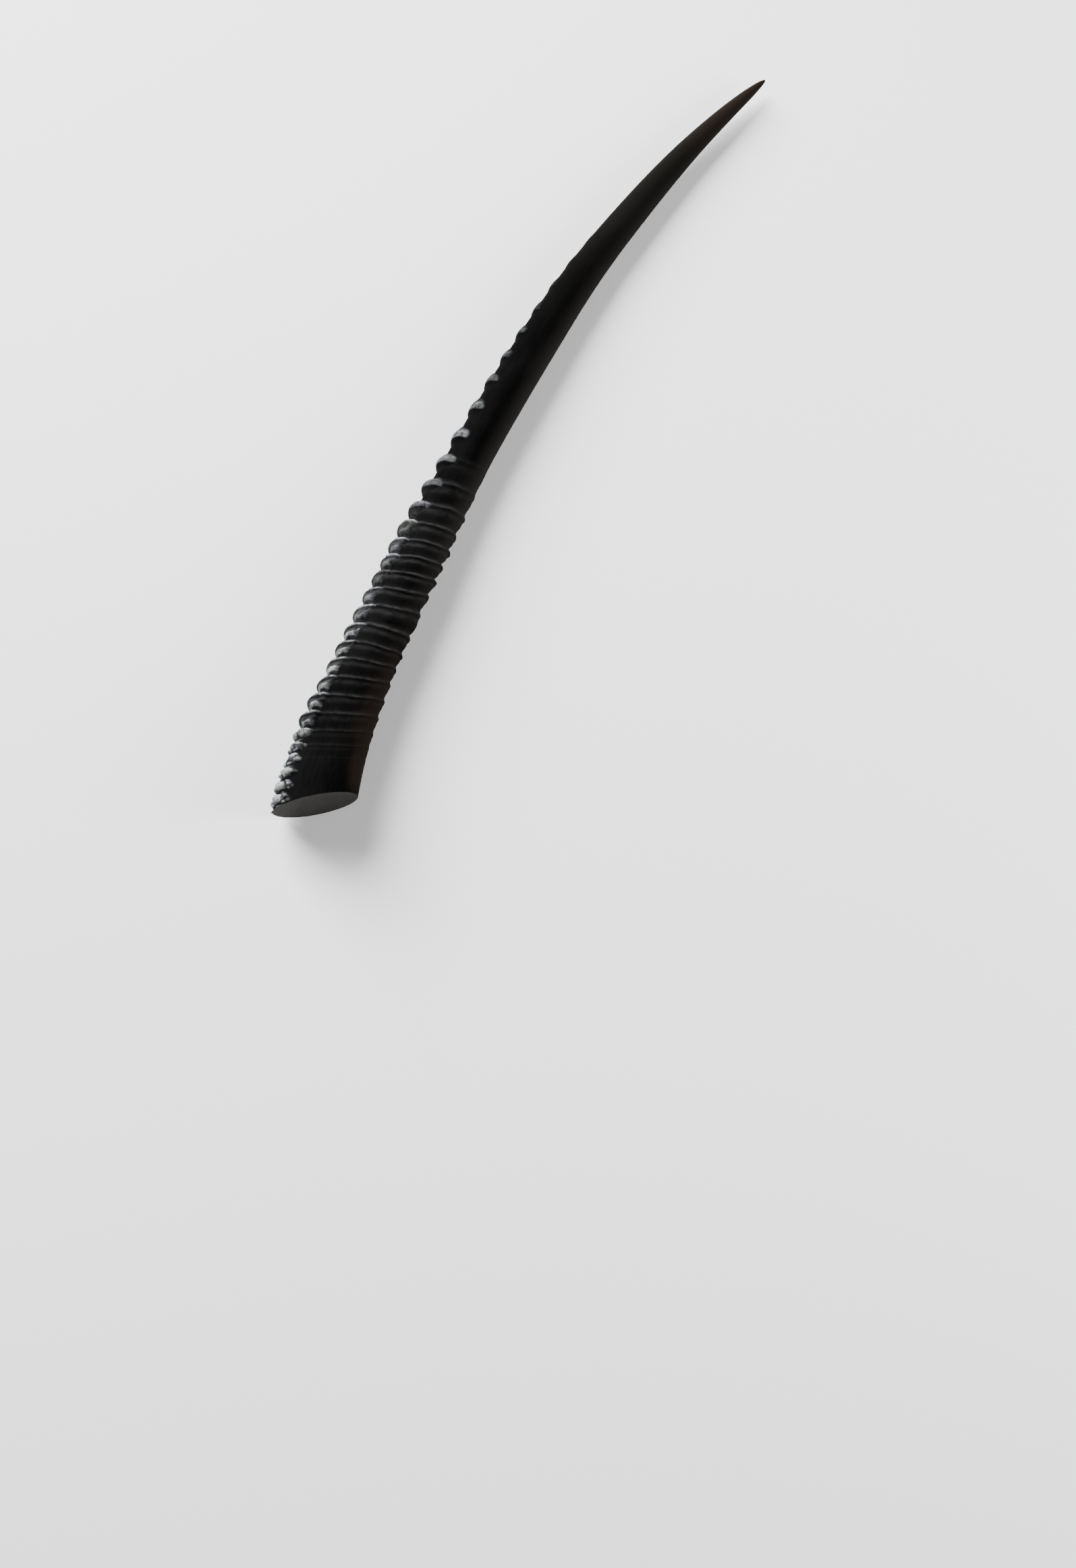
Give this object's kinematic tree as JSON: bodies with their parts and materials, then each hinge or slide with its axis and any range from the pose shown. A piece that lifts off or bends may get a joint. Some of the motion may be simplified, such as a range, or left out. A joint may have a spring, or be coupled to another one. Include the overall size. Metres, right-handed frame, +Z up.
{
  "type": "gemsbok horn",
  "caption": "Long, slightly curved, tapering horn with knobbed growth rings on its lower two thirds, sawn off flat at the base and lying on its side.",
  "frame": {"origin": "on the surface the horn lies on, under the middle of its box", "axes": "+X from the sawn base to the tip, +Y towards the convex, knobbed front edge, +Z up through the outer side"},
  "size_m": [0.835, 0.0904, 0.0603],
  "materials": {
    "horn": "near-black charcoal keratin with a soft sheen, pale worn knob crests, an olive-brown tint along the rear edge and towards the tip, and a paler sawn face"
  },
  "bodies": {
    "root": {"horn": "horn"}
  },
  "joints": []
}
